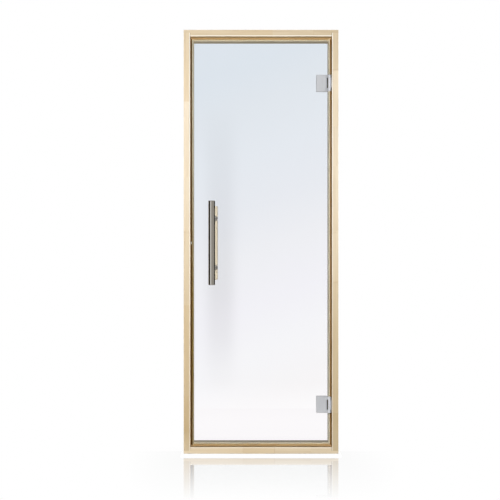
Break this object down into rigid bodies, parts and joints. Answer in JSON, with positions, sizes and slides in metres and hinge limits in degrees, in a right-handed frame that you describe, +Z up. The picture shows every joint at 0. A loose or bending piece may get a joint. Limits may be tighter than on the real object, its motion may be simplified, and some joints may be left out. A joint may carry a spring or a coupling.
{
  "type": "sauna door with a wooden frame",
  "caption": "Glass sauna door in a rebated aspen frame, with glass hinges, a steel pull outside, a wooden grip inside and a roller catch.",
  "frame": {"origin": "middle of the sill's underside, halfway through the depth of the frame", "axes": "+X towards the hinges, +Y from the outside of the sauna to the inside, +Z up"},
  "size_m": [0.69, 0.1405, 1.89],
  "materials": {
    "aspen": "planed, untreated",
    "grip_wood": "sanded",
    "clear_glass": "polished",
    "satin_steel": "satin",
    "handle_steel": "brushed",
    "black_rubber": "matt",
    "nylon": "satin",
    "seal_silicone": "satin"
  },
  "bodies": {
    "frame": {"sill": "aspen", "head": "aspen", "hinge_jamb": "aspen", "latch_jamb": "aspen", "sill_seal": "seal_silicone", "head_seal": "seal_silicone", "hinge_side_seal": "seal_silicone", "latch_side_seal": "seal_silicone", "lower_hinge_frame_leaf": "satin_steel", "upper_hinge_frame_leaf": "satin_steel", "lower_hinge_pin": "satin_steel", "upper_hinge_pin": "satin_steel", "lower_hinge_washers": "nylon", "upper_hinge_washers": "nylon", "catch_sleeve": "satin_steel", "catch_axle": "satin_steel", "catch_roller": "nylon"},
    "door": {"glass_pane": "clear_glass", "lower_hinge_glass_leaf": "satin_steel", "upper_hinge_glass_leaf": "satin_steel", "lower_hinge_back_plate": "satin_steel", "upper_hinge_back_plate": "satin_steel", "lower_hinge_gaskets": "black_rubber", "upper_hinge_gaskets": "black_rubber", "lower_hinge_clamp_screws": "satin_steel", "upper_hinge_clamp_screws": "satin_steel", "handle_tube": "handle_steel", "handle_bottom_cap": "handle_steel", "handle_top_cap": "handle_steel", "lower_handle_post": "handle_steel", "upper_handle_post": "handle_steel", "lower_handle_bolt": "satin_steel", "upper_handle_bolt": "satin_steel", "lower_grip_spacer": "handle_steel", "upper_grip_spacer": "handle_steel", "outer_handle_washers": "nylon", "inner_handle_washers": "nylon", "wooden_grip": "grip_wood", "grip_plugs": "grip_wood"}
  },
  "joints": [
    {"name": "door_swing", "type": "hinge", "parent": "frame", "child": "door", "pos_m": [0.3074, -0.023, 0], "axis": [0, 0, 1], "range_deg": [0, 105]}
  ]
}
